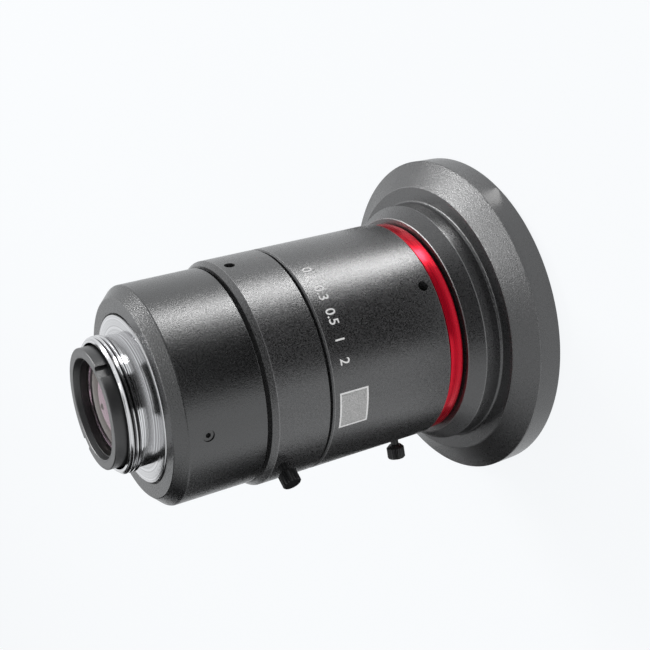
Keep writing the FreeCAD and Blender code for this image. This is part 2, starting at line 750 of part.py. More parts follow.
def c_mount_ring():
    """The hub with the V-groove for the set screws, the seat's flat disc and the thread."""
    relief = THREAD_RADIUS - THREAD_RELIEF_DEPTH
    disc_front = seat_z - SEAT_DISC_THICKNESS
    seat_edge = (hub_radius, seat_z)
    profile = [
        (mount_bore, hub_front),
        (hub_radius, hub_front),
        (hub_radius, set_screw_z - MOUNT_GROOVE_DEPTH),
        (hub_radius - MOUNT_GROOVE_DEPTH, set_screw_z),
        (hub_radius, set_screw_z + MOUNT_GROOVE_DEPTH),
        (hub_radius, disc_front),
        seat_edge,
        (relief, seat_z),
        (relief, seat_z + THREAD_RELIEF_LENGTH),
        (THREAD_RADIUS, seat_z + THREAD_RELIEF_LENGTH),
        (THREAD_RADIUS, thread_end - THREAD_CHAMFER),
        (THREAD_RADIUS - THREAD_CHAMFER, thread_end),
        (mount_bore, thread_end)]
    return turned(broken(profile, [seat_edge]))


def mount_screws():
    """Socket set screws whose cone points press into the mount ring's groove."""
    radius = SET_SCREW_HOLE_RADIUS - SLIDING_FIT
    head = rear_radius - SET_SCREW_SUNK
    tip = hub_radius - MOUNT_GROOVE_DEPTH + SET_SCREW_POINT + SEAT_CLEARANCE
    cone_top = tip + radius - SET_SCREW_POINT
    rod = radial_rod(radius, cone_top, head, set_screw_z)
    cone = Part.makeCone(SET_SCREW_POINT, radius, cone_top - tip,
                         FreeCAD.Vector(tip, 0, set_screw_z), FreeCAD.Vector(1, 0, 0))
    corner = HEX_SOCKET_FLATS / 2 / math.cos(math.radians(30))
    corners = [FreeCAD.Vector(head - HEX_SOCKET_DEPTH, corner * math.cos(math.radians(60 * i)),
                              set_screw_z + corner * math.sin(math.radians(60 * i))) for i in range(7)]
    socket = Part.Face(Part.makePolygon(corners)).extrude(FreeCAD.Vector(HEX_SOCKET_DEPTH + CUT_MARGIN, 0, 0))
    screw = rod.fuse(cone).cut(socket)
    return Part.Compound(pattern(screw, SCREW_COUNT, SET_SCREW_ANGLE))


def ring_spacer():
    low = focus_back + RING_END_CLEARANCE
    high = iris_front - RING_END_CLEARANCE
    return ring(sleeve_radius, grip_radius - SPACER_INSET, low, high)


def focus_retainer():
    """The ring screwed on the sleeve's front end, which keeps the focus ring on."""
    low = red_front + RING_END_CLEARANCE
    high = focus_front - RING_END_CLEARANCE
    return ring(sleeve_radius, spigot_bore - RING_END_CLEARANCE, low, high)


def guide_groove():
    """The helical groove that a guide pin runs in, as the focus ring turns under it."""
    lead = FOCUS_TRAVEL * 360.0 / FOCUS_TURN
    half = GUIDE_PIN_RADIUS + SLIDING_FIT
    floor_radius = pin_reach_radius + GROOVE_FLOOR_GAP
    margin = math.degrees(half / focus_bore) + SLOT_END_ANGLE
    turn = FOCUS_TURN + 2 * margin
    path = Part.makeHelix(lead, lead * turn / 360.0, floor_radius)
    inner = focus_bore - CUT_MARGIN
    corners = [FreeCAD.Vector(inner, 0, -half), FreeCAD.Vector(floor_radius, 0, -half),
               FreeCAD.Vector(floor_radius, 0, half), FreeCAD.Vector(inner, 0, half),
               FreeCAD.Vector(inner, 0, -half)]
    groove = Part.Wire(path.Edges).makePipeShell([Part.makePolygon(corners)], True, True)
    start = GUIDE_PIN_ANGLE - FOCUS_TURN - margin
    groove.translate(FreeCAD.Vector(0, 0, guide_z - lead * (FOCUS_TURN + margin) / 360.0))
    return around(groove, start)


def focus_ring():
    body = turned([
        (spigot_bore, red_front),
        (red_bore, red_front),
        (red_bore, focus_front),
        (grip_radius - GRIP_EDGE, focus_front),
        (grip_radius, focus_front + GRIP_EDGE),
        (grip_radius, focus_back - GRIP_EDGE),
        (grip_radius - GRIP_EDGE, focus_back),
        (focus_bore, focus_back),
        (focus_bore, focus_front),
        (spigot_bore, focus_front)])
    groove = guide_groove()
    for i in range(GUIDE_PIN_COUNT):
        body = body.cut(around(groove, 360.0 * i / GUIDE_PIN_COUNT))
    hole = radial_rod(TAPPED_HOLE_RADIUS, focus_bore - CUT_MARGIN, grip_radius + CUT_MARGIN, focus_hole_z)
    for cut in pattern(hole, SCREW_COUNT, FOCUS_LOCK_ANGLE):
        body = body.cut(cut)
    return body


def red_ring():
    return turned([
        (red_bore, red_front),
        (red_radius - RED_RING_EDGE, red_front),
        (red_radius, red_front + RED_RING_EDGE),
        (red_radius, red_back),
        (red_bore, red_back)])


def iris_ring():
    body = turned([
        (iris_bore, iris_front),
        (grip_radius - IRIS_EDGE, iris_front),
        (grip_radius, iris_front + IRIS_EDGE),
        (grip_radius, iris_back - IRIS_CHAMFER_LENGTH),
        (grip_radius - IRIS_CHAMFER_DEPTH, iris_back),
        (iris_bore, iris_back)])
    hole = radial_rod(TAPPED_HOLE_RADIUS, iris_bore - CUT_MARGIN, grip_radius + CUT_MARGIN, iris_hole_z)
    for cut in pattern(hole, SCREW_COUNT, IRIS_LOCK_ANGLE):
        body = body.cut(cut)
    seat = radial_rod(DRIVE_PIN_RADIUS, iris_bore - CUT_MARGIN, iris_bore + DRIVE_PIN_SEAT, drive_z)
    return body.cut(around(seat, DRIVE_PIN_ANGLE))


def lock_screw(tip, neck, z, angle):
    """A thumb screw: shank through the ring's wall, thin neck and a chamfered head."""
    neck_top = grip_radius + neck
    head_top = neck_top + LOCK_HEAD_LENGTH
    shank = TAPPED_HOLE_RADIUS - SLIDING_FIT
    shank_top = grip_radius - GRIP_EDGE
    outline = [
        (0, tip),
        (shank, tip),
        (shank, shank_top),
        (LOCK_NECK_RADIUS, shank_top),
        (LOCK_NECK_RADIUS, neck_top),
        (LOCK_HEAD_RADIUS - LOCK_HEAD_SHOULDER, neck_top),
        (LOCK_HEAD_RADIUS, neck_top + LOCK_HEAD_SHOULDER),
        (LOCK_HEAD_RADIUS, head_top - LOCK_HEAD_EDGE),
        (LOCK_HEAD_RADIUS - LOCK_HEAD_EDGE, head_top),
        (0, head_top)]
    screw = turned(outline)
    screw.rotate(FreeCAD.Vector(0, 0, 0), FreeCAD.Vector(0, 1, 0), 90)
    screw.translate(FreeCAD.Vector(0, 0, z))
    return around(screw, angle)


def build():
    os.makedirs("parts", exist_ok=True)
    save(main_barrel(), "main_barrel")
    save(c_mount_ring(), "c_mount_ring")
    save(mount_screws(), "mount_screws")
    save(ring_spacer(), "ring_spacer")
    save(focus_retainer(), "focus_retainer")
    save(front_barrel(), "front_barrel")
    save(front_retainer(), "front_retainer")
    save(front_element(), "front_element")
    save(inner_barrel_front(), "inner_barrel_front")
    save(guide_pins(), "guide_pins")
    save(second_element(), "second_element")
    save(second_retainer(), "second_retainer")
    save(third_element(), "third_element")
    save(third_retainer(), "third_retainer")
    save(inner_barrel_rear(), "inner_barrel_rear")
    save(iris_plate(iris_stop_radius, plate_front, plate_back, range(1, BLADE_COUNT)), "iris_base_plate")
    save(iris_plate(blade_inner, cover_front, cover_back, [0]), "iris_cover_plate")
    for index in range(BLADE_COUNT):
        save(iris_blade(index), "iris_blade_%d" % (index + 1))
    save(iris_rotor(), "iris_rotor")
    save(iris_drive_pin(), "iris_drive_pin")
    save(doublet_front(), "doublet_front")
    save(doublet_rear(), "doublet_rear")
    save(doublet_spacer(), "doublet_spacer")
    save(relay_element(), "relay_element")
    save(rear_spacer(), "rear_spacer")
    save(rear_element(), "rear_element")
    save(rear_cell(), "rear_cell")
    save(focus_ring(), "focus_ring")
    save(red_ring(), "red_ring")
    save(iris_ring(), "iris_ring")
    save(lock_screw(iris_bore, IRIS_LOCK_NECK, iris_hole_z, IRIS_LOCK_ANGLE), "iris_lock_screw")
    save(lock_screw(focus_bore, FOCUS_LOCK_NECK, focus_hole_z, FOCUS_LOCK_ANGLE), "focus_lock_screw")
    print("seat height", round(seat_z, 3), "overall", round(cell_back, 3))


build()
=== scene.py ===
# %% [markdown]
# # A C-mount machine vision lens
# The lens is a stack of turned metal parts: a wide hood, a focus ring with a red ring in front of it,
# an iris ring, a fixed rear barrel and a bright threaded C-mount. The imported solids come in as a fixed
# frame, in metres. This script dresses them with finishes and adds what the solids leave out: threads,
# knurled screw heads and printed figures.

# %% Load the frame
import bpy
import bmesh
import json
import math
from mathutils import Matrix, Vector

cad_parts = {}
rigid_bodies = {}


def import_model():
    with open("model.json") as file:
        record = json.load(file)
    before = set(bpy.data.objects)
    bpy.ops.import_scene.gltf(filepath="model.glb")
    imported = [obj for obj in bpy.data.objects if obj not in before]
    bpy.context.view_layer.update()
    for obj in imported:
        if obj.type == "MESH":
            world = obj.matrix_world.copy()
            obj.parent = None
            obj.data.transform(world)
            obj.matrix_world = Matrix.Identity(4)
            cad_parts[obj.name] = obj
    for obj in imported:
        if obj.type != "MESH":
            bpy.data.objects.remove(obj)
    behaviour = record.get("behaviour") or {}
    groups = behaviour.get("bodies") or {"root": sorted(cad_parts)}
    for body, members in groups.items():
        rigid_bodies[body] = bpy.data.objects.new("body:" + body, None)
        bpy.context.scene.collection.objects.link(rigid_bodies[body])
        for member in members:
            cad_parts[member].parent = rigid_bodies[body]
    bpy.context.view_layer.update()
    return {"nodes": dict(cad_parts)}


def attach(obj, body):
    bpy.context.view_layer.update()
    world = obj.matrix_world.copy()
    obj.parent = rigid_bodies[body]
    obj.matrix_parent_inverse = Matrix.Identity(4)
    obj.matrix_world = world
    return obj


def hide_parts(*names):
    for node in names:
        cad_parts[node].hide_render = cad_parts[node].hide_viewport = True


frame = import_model()
nodes = frame["nodes"]
MM = 0.001

# %% [markdown]
# ## Working by hand, in code
# Each new piece is made the way it would be by hand: a primitive is added, then shaped in edit mode.
# An edit mode operator acts on all that is selected. So these helpers empty the selection first, and
# then pick faces or edges by where they are or which way they face. A finished piece has its place in
# its mesh, so its own place is baked in.

# %% Selecting, opening and baking
def start_clean():
    if bpy.context.object and bpy.context.object.mode != "OBJECT":
        bpy.ops.object.mode_set(mode="OBJECT")
    bpy.ops.object.select_all(action="DESELECT")


def take(piece):
    """Select one piece alone and make it the active one."""
    start_clean()
    piece.select_set(True)
    bpy.context.view_layer.objects.active = piece


def open_edit(piece, kind="FACE"):
    take(piece)
    bpy.ops.object.mode_set(mode="EDIT")
    bpy.ops.mesh.select_mode(type=kind)
    bpy.ops.mesh.select_all(action="DESELECT")


def close_edit():
    bpy.ops.object.mode_set(mode="OBJECT")
    bpy.ops.object.select_all(action="DESELECT")


def pick(piece, kind, test):
    """Select the faces or the edges that pass a test, and count them."""
    bpy.ops.mesh.select_mode(type=kind)
    bpy.ops.mesh.select_all(action="DESELECT")
    mesh = bmesh.from_edit_mesh(piece.data)
    found = 0
    for element in mesh.faces if kind == "FACE" else mesh.edges:
        element.select_set(bool(test(element)))
        found += element.select
    bmesh.update_edit_mesh(piece.data)
    return found


def bake_place(piece):
    take(piece)
    bpy.ops.object.transform_apply(location=True, rotation=True, scale=True)
    bpy.ops.object.select_all(action="DESELECT")


start_clean()
print("selected after a clean start:", len(bpy.context.selected_objects))

# %% [markdown]
# ## The camera
# The photograph looks at the mount end from the side, with the lens lying across the picture. Here
# the lens stands on its rim, so the camera is tipped over instead. Angles would be hard to read for
# such a view. Three directions say it plainly: the picture's right, its up, and towards the viewer.

# %% Camera
picture_right = Vector((-0.2593, -0.4378, -0.8609)).normalized()
to_viewer = Vector((-0.0179, -0.8891, 0.4575)).normalized()
picture_up = to_viewer.cross(picture_right).normalized()
turned = Matrix((picture_right, picture_up, to_viewer)).transposed()
viewpoint = Vector((0.0, -206.44, 137.31)) * MM

camera_data = bpy.data.cameras.new("photo_camera")
camera_data.lens = 65.2
camera_data.sensor_width = 36.0
camera_data.clip_start = 0.01
camera_data.clip_end = 20.0
camera = bpy.data.objects.new("photo_camera", camera_data)
bpy.context.scene.collection.objects.link(camera)
camera.matrix_world = Matrix.Translation(viewpoint) @ turned.to_4x4()
bpy.context.scene.camera = camera
print("camera up", [round(v, 3) for v in picture_up])

# %% [markdown]
# ## Nodes in a few words
# A material is a net of nodes, and most of its nodes do one of a few things: compute, stretch a range,
# mix two values, or make noise. Each gets a helper that adds the node and feeds its sockets, with a
# wire where the value comes from another node and with a plain number where it doesn't. That keeps
# the recipes below short enough to read as recipes.

# %% Node helpers
def new_material(name):
    material = bpy.data.materials.new(name)
    material.use_nodes = True
    material.node_tree.nodes.clear()
    return material, material.node_tree


def add(tree, kind, **settings):
    node = tree.nodes.new(kind)
    for name, value in settings.items():
        setattr(node, name, value)
    return node


def feed(tree, socket, source):
    if isinstance(source, bpy.types.NodeSocket):
        tree.links.new(source, socket)
    else:
        socket.default_value = source


def compute(tree, operation, first, second, clamp=False):
    node = add(tree, "ShaderNodeMath", operation=operation, use_clamp=clamp)
    feed(tree, node.inputs[0], first)
    feed(tree, node.inputs[1], second)
    return node.outputs[0]


def stretch(tree, value, low, high, to_low=0.0, to_high=1.0, ease="LINEAR"):
    """Carry the range from low to high over to the range from to_low to to_high."""
    node = add(tree, "ShaderNodeMapRange", interpolation_type=ease)
    for socket, source in (("Value", value), ("From Min", low), ("From Max", high),
                           ("To Min", to_low), ("To Max", to_high)):
        feed(tree, node.inputs[socket], source)
    return node.outputs[0]


def blend(tree, share, first, second, kind="RGBA"):
    """Mix two colours, or two numbers with kind FLOAT, by a share from 0 to 1."""
    node = add(tree, "ShaderNodeMix", data_type=kind)
    feed(tree, node.inputs["Factor"], share)
    feed(tree, node.inputs["A"], first)
    feed(tree, node.inputs["B"], second)
    return node.outputs["Result"]


def show(tree, shader):
    """Wire a shader to the material's output."""
    tree.links.new(shader.outputs[0], add(tree, "ShaderNodeOutputMaterial").inputs["Surface"])


def grey(level):
    return (level, level, level, 1)


print("a middle grey is", grey(0.5))

# %% [markdown]
# ## Floor and world
# A plain pale floor carries the lens. Seen by the camera, by glossy rays and through glass, it is
# mostly a steady white. That is mixed with its own lit surface, so the shadow of the lens stays on it.
# More light could make it white too, but would wash out the lens. No light reaches the floor inside
# the hood's mouth, so there the steady white is left out. The world gives weak even light from all
# round, and it has its own steady tone for the same three kinds of ray.

# %% Floor
HOOD_MOUTH, HOOD_FOOT = 31.0, 32.0
STEADY_SHARE = 0.93


def seen_rays(tree):
    """1 for rays from the camera, off gloss or through glass, and 0 for the others."""
    path = add(tree, "ShaderNodeLightPath")
    total = path.outputs["Is Camera Ray"]
    for ray in ("Is Glossy Ray", "Is Transmission Ray"):
        total = compute(tree, "ADD", total, path.outputs[ray], clamp=True)
    return total


bpy.ops.mesh.primitive_plane_add(size=6.0, location=(0, 0, 0))
floor = bpy.context.object
floor.name = "studio_floor"
pale_floor, tree = new_material("pale_floor")
lit = add(tree, "ShaderNodeBsdfDiffuse")
lit.inputs["Color"].default_value = grey(0.86)
steady = add(tree, "ShaderNodeEmission")
steady.inputs["Color"].default_value = (0.955, 0.973, 0.991, 1)
from_axis = add(tree, "ShaderNodeVectorMath", operation="LENGTH")
feed(tree, from_axis.inputs[0], add(tree, "ShaderNodeTexCoord").outputs["Object"])
outside = stretch(tree, from_axis.outputs["Value"], HOOD_MOUTH * MM, HOOD_FOOT * MM, 0.0, STEADY_SHARE)
floor_mix = add(tree, "ShaderNodeMixShader")
feed(tree, floor_mix.inputs["Fac"], compute(tree, "MULTIPLY", seen_rays(tree), outside))
feed(tree, floor_mix.inputs[1], lit.outputs[0])
feed(tree, floor_mix.inputs[2], steady.outputs[0])
show(tree, floor_mix)
floor.data.materials.append(pale_floor)
print("floor", round(floor.dimensions.x, 2), "m across")

# %% World
world = bpy.data.worlds.new("studio")
world.use_nodes = True
bpy.context.scene.world = world
tree = world.node_tree
tree.nodes.clear()
sky_light = add(tree, "ShaderNodeBackground")
sky_light.inputs["Color"].default_value = grey(1.0)
sky_light.inputs["Strength"].default_value = 0.35
sky_seen = add(tree, "ShaderNodeBackground")
sky_seen.inputs["Color"].default_value = (0.915, 0.93, 0.945, 1)
sky_mix = add(tree, "ShaderNodeMixShader")
feed(tree, sky_mix.inputs["Fac"], seen_rays(tree))
feed(tree, sky_mix.inputs[1], sky_light.outputs[0])
feed(tree, sky_mix.inputs[2], sky_seen.outputs[0])
tree.links.new(sky_mix.outputs[0], add(tree, "ShaderNodeOutputWorld").inputs["Surface"])
print("world light", round(sky_light.inputs["Strength"].default_value, 2))

# %% [markdown]
# ## Lamps
# Two small soft boxes above and behind the lens make the highlight along its upper side. A large weak
# one behind the camera, a little to one side, lifts the shadows. A small source gives a narrow
# highlight, and a large one gives broad light with soft shadows. The large one is kept out of the
# reflections, where its square would show on the dark metal.

# %% Lamps
def soft_box(name, place, aim_height, width, height, watts):
    data = bpy.data.lights.new(name, "AREA")
    data.shape = "RECTANGLE"
    data.size = width
    data.size_y = height
    data.energy = watts
    lamp = bpy.data.objects.new(name, data)
    bpy.context.scene.collection.objects.link(lamp)
    aim = Vector((0, 0, aim_height))
    lamp.location = place
    lamp.rotation_euler = (Vector(place) - aim).to_track_quat("Z", "Y").to_euler()
    lamp.visible_camera = False
    return lamp


above = soft_box("box_above", (0.44, 0.32, 0.60), 0.0, width=0.20, height=0.22, watts=3.0)
top = soft_box("box_top", (0.20, 0.09, 0.68), 0.0, width=0.18, height=0.20, watts=1.2)
fill = soft_box("fill_front", (-0.35, -0.75, 0.45), 0.04, width=0.5, height=0.5, watts=2.0)
fill.visible_glossy = False
print("lamps:", round(sum(lamp.data.energy for lamp in (above, top, fill)), 1), "W in all")

# %% [markdown]
# ## Cards
# A dark, shiny barrel shows its shape by what it mirrors. In a studio, glowing strips and black cards
# round the lens give it bright and dark bands. Each is a flat piece that only reflections see, so it
# throws no shadow and doesn't show on the floor. From this camera, a point on the barrel mirrors the
# floor at about twice its own height away. So the cards for it lie on the floor, as wedges that widen
# away from the lens. Others hang in the air, for the chamfers and cones that look up or far out.

# %% Materials of the cards
def card_material(name, shader_kind, socket, value):
    material, tree = new_material(name)
    shader = add(tree, shader_kind)
    shader.inputs[socket].default_value = value
    show(tree, shader)
    return material


card_black = card_material("card_black", "ShaderNodeBsdfDiffuse", "Color", grey(0.01))
card_glow = card_material("card_glow", "ShaderNodeEmission", "Strength", 12.0)
card_dim_glow = card_material("card_dim_glow", "ShaderNodeEmission", "Strength", 2.6)


def only_mirrored(card, name, material):
    card.name = name
    card.data.materials.append(material)
    card.visible_camera = False
    card.visible_diffuse = False
    card.visible_transmission = False
    card.visible_shadow = False


print("card materials:", card_black.name, card_glow.name, card_dim_glow.name)

# %% Cards on the floor
def floor_card(name, azimuth, near, far, half_angle, height, material=card_black,
               apex=(0.0, 0.0), least=0.0):
    """A wedge from near to far of its apex, in metres and degrees. The apex is in millimetres."""
    start_clean()
    bpy.ops.mesh.primitive_plane_add(size=1.0)
    card = bpy.context.object
    card.scale = (far - near, 1.0, 1.0)
    card.location = ((near + far) / 2, 0, height)
    bake_place(card)
    widening = 2 * math.tan(math.radians(half_angle))
    open_edit(card, "EDGE")
    for reach in (near, far):
        pick(card, "EDGE", lambda edge: all(abs(v.co.x - reach) < 0.1 * MM for v in edge.verts))
        across = max(widening * reach, least)
        bpy.ops.transform.resize(value=(1, across, 1), center_override=(reach, 0, height))
    close_edit()
    card.rotation_euler = (0, 0, math.radians(azimuth))
    card.location = (apex[0] * MM, apex[1] * MM, 0)
    bake_place(card)
    only_mirrored(card, name, material)


floor_card("strip_right", -18.5, 0.022, 0.30, 6.5, 0.001, card_glow, apex=(12.6, -17.6), least=0.009)
floor_card("strip_by_rim", -16.0, 0.0005, 0.0098, 1.0, 0.0005, card_dim_glow,
           apex=(19.4, -25.75), least=0.0035)
floor_card("card_hood_left", 161.5, 0.033, 0.042, 21.5, 0.0005)
floor_card("card_hood_right", 14.0, 0.033, 0.042, 15.0, 0.0005)
floor_card("card_front", -79.0, 0.042, 0.5, 30.0, 0.0004)
floor_card("card_left", 153.0, 0.042, 0.28, 26.0, 0.0004)

# %% The ring card and the cards in the air
def ring_card(name, inner, outer, height):
    """A flat ring on the floor round the lens."""
    start_clean()
    bpy.ops.mesh.primitive_circle_add(vertices=96, radius=outer, fill_type="NGON",
                                      location=(0, 0, height))
    card = bpy.context.object
    bake_place(card)
    open_edit(card)
    bpy.ops.mesh.select_all(action="SELECT")
    bpy.ops.mesh.inset(thickness=outer - inner)
    bpy.ops.mesh.delete(type="FACE")
    close_edit()
    only_mirrored(card, name, card_black)


def air_card(name, place, width, height):
    """A card that hangs in the air and faces the middle of the lens."""
    start_clean()
    middle_of_lens = Vector((0, 0, 0.04))
    turn = (Vector(place) - middle_of_lens).to_track_quat("Z", "Y").to_euler()
    bpy.ops.mesh.primitive_plane_add(size=1.0, location=place, rotation=turn)
    card = bpy.context.object
    card.scale = (width, height, 1.0)
    bake_place(card)
    only_mirrored(card, name, card_black)


ring_card("card_round_hood", 0.042, 0.049, 0.0006)
air_card("card_low_left", (-0.40, 0.30, 0.10), 0.35, 0.16)
air_card("card_over_camera", (0.08, -0.56, 0.54), 1.30, 0.58)
air_card("card_over_back", (-0.52, 0.66, 0.50), 0.85, 0.85)
air_card("card_zenith", (-0.02, 0.03, 0.80), 0.10, 0.24)

# %% [markdown]
# ## Effects that several finishes share
# Such an effect is a node group, built once and placed in each material with its own values. The
# first is grain. Aluminium is blasted with fine beads before it is anodised, so its skin is covered
# with tiny dents. Noise on Object coordinates makes them. A slight turn of the noise keeps its own
# grid from lining up with the lens. The same group gives slow clouds, for uneven dye and gloss.

# %% Group: blasted grain
def new_group(name, inputs, outputs):
    """A node group whose sockets are numbers. It gives back the group, its givens and its results."""
    group = bpy.data.node_groups.new(name, "ShaderNodeTree")
    for socket, value in inputs.items():
        made = group.interface.new_socket(name=socket, in_out="INPUT", socket_type="NodeSocketFloat")
        made.default_value = value
    for socket in outputs:
        group.interface.new_socket(name=socket, in_out="OUTPUT", socket_type="NodeSocketFloat")
    return group, add(group, "NodeGroupInput").outputs, add(group, "NodeGroupOutput").inputs


def noise(tree, place, scale, detail, rough=0.5, kind="3D"):
    node = add(tree, "ShaderNodeTexNoise", noise_dimensions=kind)
    feed(tree, node.inputs["W" if kind == "1D" else "Vector"], place)
    feed(tree, node.inputs["Scale"], scale)
    node.inputs["Detail"].default_value = detail
    node.inputs["Roughness"].default_value = rough
    return node.outputs["Fac"]


blasted_grain, given, result = new_group("blasted_grain", {"Grain Size": 0.14},
                                         ("Height", "Speckle", "Cloud"))
place = add(blasted_grain, "ShaderNodeTexCoord").outputs["Object"]
askew = add(blasted_grain, "ShaderNodeMapping")
askew.inputs["Rotation"].default_value = (0.61, 0.37, 0.83)
feed(blasted_grain, askew.inputs["Vector"], place)
per_grain = compute(blasted_grain, "DIVIDE", 1 / MM, given["Grain Size"])
dents = noise(blasted_grain, askew.outputs["Vector"], per_grain, detail=2.0, rough=0.75)
feed(blasted_grain, result["Height"], dents)
feed(blasted_grain, result["Speckle"], stretch(blasted_grain, dents, 0.36, 0.66))
feed(blasted_grain, result["Cloud"], noise(blasted_grain, place, 90.0, detail=4.0))
print("grain group:", len(blasted_grain.nodes), "nodes")

# %% [markdown]
# A lathe's tool leaves a fine line for each turn of the work. The lines run round the axis, on flat
# faces as well as on walls. So this noise has one dimension only: the distance from the axis less the
# height. That changes along a wall, along a flat face, and along a cone that narrows upwards.

# %% Group: tool rings
def length_of(tree, first, second):
    """The length of a step with two parts."""
    step = add(tree, "ShaderNodeCombineXYZ")
    feed(tree, step.inputs["X"], first)
    feed(tree, step.inputs["Y"], second)
    length = add(tree, "ShaderNodeVectorMath", operation="LENGTH")
    feed(tree, length.inputs[0], step.outputs[0])
    return length.outputs["Value"]


def round_axis(tree):
    """The distance from the lens axis and the height over the floor, in millimetres."""
    in_mm = add(tree, "ShaderNodeVectorMath", operation="SCALE")
    in_mm.inputs["Scale"].default_value = 1 / MM
    feed(tree, in_mm.inputs[0], add(tree, "ShaderNodeTexCoord").outputs["Object"])
    parts = add(tree, "ShaderNodeSeparateXYZ")
    feed(tree, parts.inputs[0], in_mm.outputs[0])
    return length_of(tree, parts.outputs["X"], parts.outputs["Y"]), parts.outputs["Z"]


tool_rings, given, result = new_group("tool_rings", {"Pitch": 0.12}, ("Height", "Streak"))
radius, height = round_axis(tool_rings)
along_profile = compute(tool_rings, "SUBTRACT", radius, height)
per_pitch = compute(tool_rings, "DIVIDE", 1.0, given["Pitch"])
lines = noise(tool_rings, along_profile, per_pitch, detail=2.0, kind="1D")
feed(tool_rings, result["Height"], lines)
feed(tool_rings, result["Streak"], stretch(tool_rings, lines, 0.3, 0.7))
print("tool ring group:", len(tool_rings.nodes), "nodes")

# %% [markdown]
# Handling rubs the dye off the sharp edges of a barrel. On a turned piece each edge is a circle round
# the axis, known by its radius and its height. So the mask is strong near that circle and fades with
# the distance from it. Noise breaks it up, because no edge wears evenly.

# %% Group: rubbed edge
rubbed_edge, given, result = new_group(
    "rubbed_edge", {"Radius": 20.0, "Height": 50.0, "Width": 0.15}, ("Mask",))
radius, height = round_axis(rubbed_edge)
away = length_of(rubbed_edge, compute(rubbed_edge, "SUBTRACT", radius, given["Radius"]),
                 compute(rubbed_edge, "SUBTRACT", height, given["Height"]))
near = stretch(rubbed_edge, away, 0.0, given["Width"], 1.0, 0.0, ease="SMOOTHSTEP")
place = add(rubbed_edge, "ShaderNodeTexCoord").outputs["Object"]
worn = stretch(rubbed_edge, noise(rubbed_edge, place, 900.0, detail=3.0), 0.3, 0.6, 0.55, 1.0)
feed(rubbed_edge, result["Mask"], compute(rubbed_edge, "MULTIPLY", near, worn))
print("rubbed edge group:", len(rubbed_edge.nodes), "nodes")

# %% [markdown]
# ## Black finishes
# Black anodised aluminium is the main finish: a very dark dye in a clear hard skin, satin from the
# blasting under it. Each barrel gets its own list of rubbed edges, from the profile of the lens. The
# same maker serves the smoother black steel of the screws, with other values.

# %% The profile's edges
RIM_EDGE, CONE_EDGE = (32.25, 4.85), (27.5, 7.65)
NECK_EDGE, HOOD_BACK_EDGE = (24.3, 11.2), (22.2, 13.9)
GRIP_RADIUS = 21.65
FOCUS_FRONT, FOCUS_BACK, IRIS_BACK = (GRIP_RADIUS, 17.75), (GRIP_RADIUS, 42.95), (GRIP_RADIUS, 54.25)
REAR_BARREL_FRONT = (20.63, 56.0)
CELL_FACE, CELL_CORNER = (10.3, 80.55), (11.2, 80.55)
print("rim to cell:", RIM_EDGE[0], "to", CELL_CORNER[0], "mm in radius")

# %% Black anodised aluminium and black steel
def place_group(tree, group, values):
    node = add(tree, "ShaderNodeGroup", node_tree=group)
    for socket, value in values.items():
        node.inputs[socket].default_value = value
    return node.outputs


def start_skin(name, values):
    """A material with a Principled shader, whose plain values are set on its own sockets."""
    material, tree = new_material(name)
    skin = add(tree, "ShaderNodeBsdfPrincipled")
    for socket, value in values.items():
        skin.inputs[socket].default_value = value
    show(tree, skin)
    return material, tree, skin.inputs


def emboss(tree, skin, height, strength, distance):
    """Bump the skin by a height; the distance is in millimetres."""
    bump = add(tree, "ShaderNodeBump")
    bump.inputs["Strength"].default_value = strength
    bump.inputs["Distance"].default_value = distance * MM
    feed(tree, bump.inputs["Height"], height)
    feed(tree, skin["Normal"], bump.outputs[0])


BARREL_DYE, DEEP_DYE = (0.003, 0.0031, 0.0033), (0.004, 0.004, 0.0042)
BARE_METAL, BARE_CELL = (0.2, 0.2, 0.205), (0.05, 0.05, 0.051)


def dark_metal(name, dye, rough, grain, bump, flecks=2.5, edges=(), gloss=1.9, rubbed=BARE_METAL):
    """Dark metal: flecks is how much lighter its grain is than its dye, edges its rubbed rings."""
    material, tree, skin = start_skin(name, {"IOR": gloss})
    grit = place_group(tree, blasted_grain, {"Grain Size": grain})
    colour = blend(tree, grit["Speckle"], (*dye, 1), (*[c * flecks for c in dye], 1))
    for (radius, height), width in edges:
        ring = place_group(tree, rubbed_edge, {"Radius": radius, "Height": height, "Width": width})
        colour = blend(tree, ring["Mask"], colour, (*rubbed, 1))
    feed(tree, skin["Base Color"], colour)
    uneven = blend(tree, 0.6, grit["Cloud"], grit["Speckle"], kind="FLOAT")
    feed(tree, skin["Roughness"], stretch(tree, uneven, 0.0, 1.0, rough - 0.06, rough + 0.06))
    emboss(tree, skin, grit["Height"], bump, 0.07)
    return material


main_black = dark_metal("black_anodised_barrel", BARREL_DYE, 0.28, 0.26, 0.6, flecks=3,
                        edges=[(REAR_BARREL_FRONT, 0.22)])
ring_black = dark_metal("black_anodised_rings", (0.006, 0.006, 0.0062), 0.28, 0.26, 0.65, flecks=10,
                        edges=[(FOCUS_FRONT, 0.12), (FOCUS_BACK, 0.12), (IRIS_BACK, 0.12)])
hood_black = dark_metal("black_anodised_hood", DEEP_DYE, 0.30, 0.26, 0.6, flecks=8,
                        edges=[(RIM_EDGE, 0.14), (CONE_EDGE, 0.1), (NECK_EDGE, 0.12),
                               (HOOD_BACK_EDGE, 0.18)])
cell_black = dark_metal("black_anodised_cell", DEEP_DYE, 0.36, 0.12, 0.2,
                        edges=[(CELL_FACE, 1.3), (CELL_CORNER, 0.1)], gloss=1.7, rubbed=BARE_CELL)
inner_black = dark_metal("matt_black_inside", (0.005, 0.005, 0.0052), 0.6, 0.1, 0.15, gloss=1.5)
screw_black = dark_metal("black_oxide_steel", DEEP_DYE, 0.34, 0.1, 0.05, gloss=1.5)
